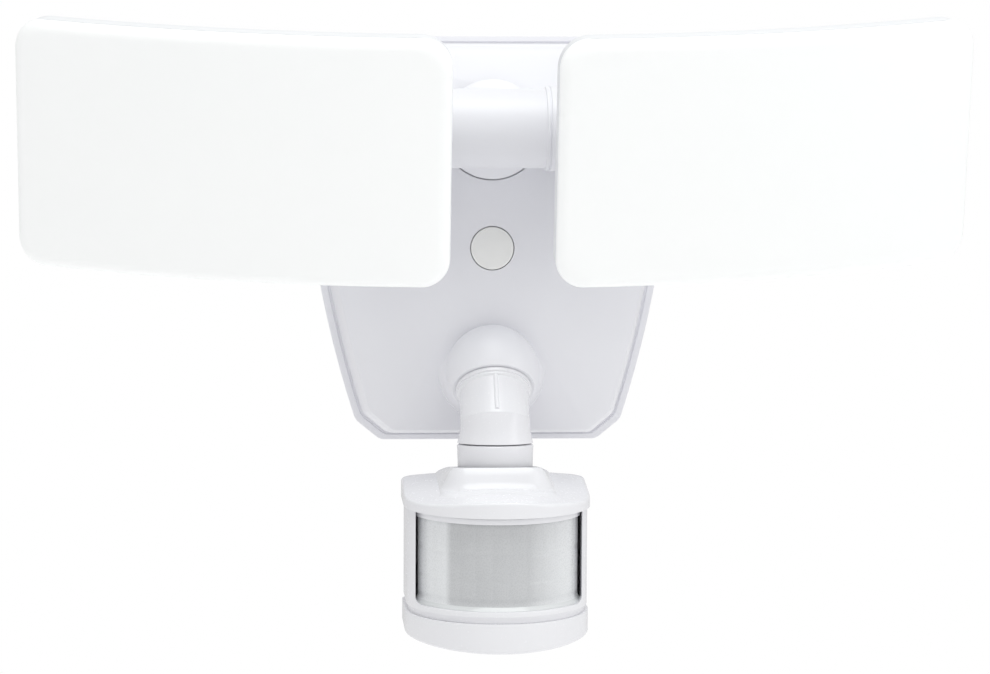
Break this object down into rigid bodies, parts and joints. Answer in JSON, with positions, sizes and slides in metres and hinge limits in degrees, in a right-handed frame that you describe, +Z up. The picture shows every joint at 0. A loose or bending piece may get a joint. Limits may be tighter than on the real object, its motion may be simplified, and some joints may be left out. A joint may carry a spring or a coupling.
{
  "type": "motion-sensing twin-head security floodlight",
  "caption": "Outdoor security floodlight with two curved panel lamp heads on a T hub, a wall canopy and a motion sensor on a swivelling elbow.",
  "frame": {"origin": "on the axis of the centre mounting bolt, in the wall plane (the gasket's back face)", "axes": "+X to the right seen from the front, +Y into the wall, +Z up"},
  "size_m": [0.3588, 0.1068, 0.2383],
  "materials": {
    "white_shell": "satin",
    "sensor_shell": "glossy",
    "diffuser": "frosted",
    "fresnel": "milky",
    "plug": "matte",
    "reflector": "semi-gloss",
    "rubber": "matte",
    "silicone": "matte",
    "steel": "zinc plated",
    "green_screw": "green passivated",
    "led_board": "white solder mask",
    "circuit_board": "solder mask",
    "driver": "matte",
    "lead": "satin"
  },
  "bodies": {
    "fixture": {"canopy": "white_shell", "wall_gasket": "rubber", "mounting_strap": "steel", "centre_bolt": "steel", "bolt_plug": "plug", "ground_screw": "green_screw", "driver_case": "driver", "driver_screw_upper": "steel", "driver_screw_lower": "steel", "hub": "white_shell", "hub_seal": "rubber", "hub_locknut": "steel", "head_lead": "lead", "sensor_lead": "lead"},
    "left_arm": {"left_tilt_arm": "white_shell", "left_tilt_bolt": "steel", "left_spring_washer": "steel"},
    "left_head": {"left_housing": "white_shell", "left_lens": "diffuser", "left_lens_seal": "silicone", "left_reflector": "reflector", "left_led_board": "led_board", "left_pan_bolt": "steel", "left_screw_1": "steel", "left_screw_2": "steel", "left_screw_3": "steel", "left_screw_4": "steel"},
    "right_arm": {"right_tilt_arm": "white_shell", "right_tilt_bolt": "steel", "right_spring_washer": "steel"},
    "right_head": {"right_housing": "white_shell", "right_lens": "diffuser", "right_lens_seal": "silicone", "right_reflector": "reflector", "right_led_board": "led_board", "right_pan_bolt": "steel", "right_screw_1": "steel", "right_screw_2": "steel", "right_screw_3": "steel", "right_screw_4": "steel"},
    "swivel": {"swivel_elbow": "white_shell", "swivel_retainer": "plug"},
    "collar": {"pan_collar": "white_shell"},
    "sensor": {"sensor_cap": "sensor_shell", "sensor_body": "sensor_shell", "sensor_bezel": "sensor_shell", "sensor_lens": "fresnel", "sensor_base": "sensor_shell", "tilt_pin": "steel", "sensor_board": "circuit_board", "pir_detector": "steel", "light_cell": "silicone", "status_led": "diffuser", "base_screw_1": "steel", "base_screw_2": "steel"},
    "time_dial": {"time_knob": "plug"},
    "lux_dial": {"lux_knob": "plug"},
    "range_dial": {"range_knob": "plug"}
  },
  "joints": [
    {"name": "left_head_tilt", "type": "hinge", "parent": "fixture", "child": "left_arm", "pos_m": [0, -0.05, 0.0458], "axis": [1, 0, 0], "range_deg": [-40, 30]},
    {"name": "left_head_pan", "type": "hinge", "parent": "left_arm", "child": "left_head", "pos_m": [-0.05, -0.05, 0.0458], "axis": [0, 0.2588, -0.9659], "range_deg": [-12, 22]},
    {"name": "right_head_tilt", "type": "hinge", "parent": "fixture", "child": "right_arm", "pos_m": [0, -0.05, 0.0458], "axis": [1, 0, 0], "range_deg": [-40, 30]},
    {"name": "right_head_pan", "type": "hinge", "parent": "right_arm", "child": "right_head", "pos_m": [0.05, -0.05, 0.0458], "axis": [0, -0.2588, 0.9659], "range_deg": [-13.5, 22]},
    {"name": "sensor_swing", "type": "hinge", "parent": "fixture", "child": "swivel", "pos_m": [0, -0.033, -0.0472], "axis": [0, -0.6225, -0.7826], "range_deg": [-40, 40]},
    {"name": "sensor_pan", "type": "hinge", "parent": "swivel", "child": "collar", "pos_m": [0, -0.0478, -0.0745], "axis": [0, 0, 1], "range_deg": [-90, 90]},
    {"name": "sensor_tilt", "type": "hinge", "parent": "collar", "child": "sensor", "pos_m": [0, -0.0478, -0.0868], "axis": [1, 0, 0], "range_deg": [-14, 14]},
    {"name": "time_dial_turn", "type": "hinge", "parent": "sensor", "child": "time_dial", "pos_m": [-0.015, -0.05765, -0.14663], "axis": [0, -0.0698, 0.9976], "range_deg": [-135, 135]},
    {"name": "lux_dial_turn", "type": "hinge", "parent": "sensor", "child": "lux_dial", "pos_m": [0, -0.05765, -0.14663], "axis": [0, -0.0698, 0.9976], "range_deg": [-135, 135]},
    {"name": "range_dial_turn", "type": "hinge", "parent": "sensor", "child": "range_dial", "pos_m": [0.015, -0.05765, -0.14663], "axis": [0, -0.0698, 0.9976], "range_deg": [-135, 135]}
  ]
}
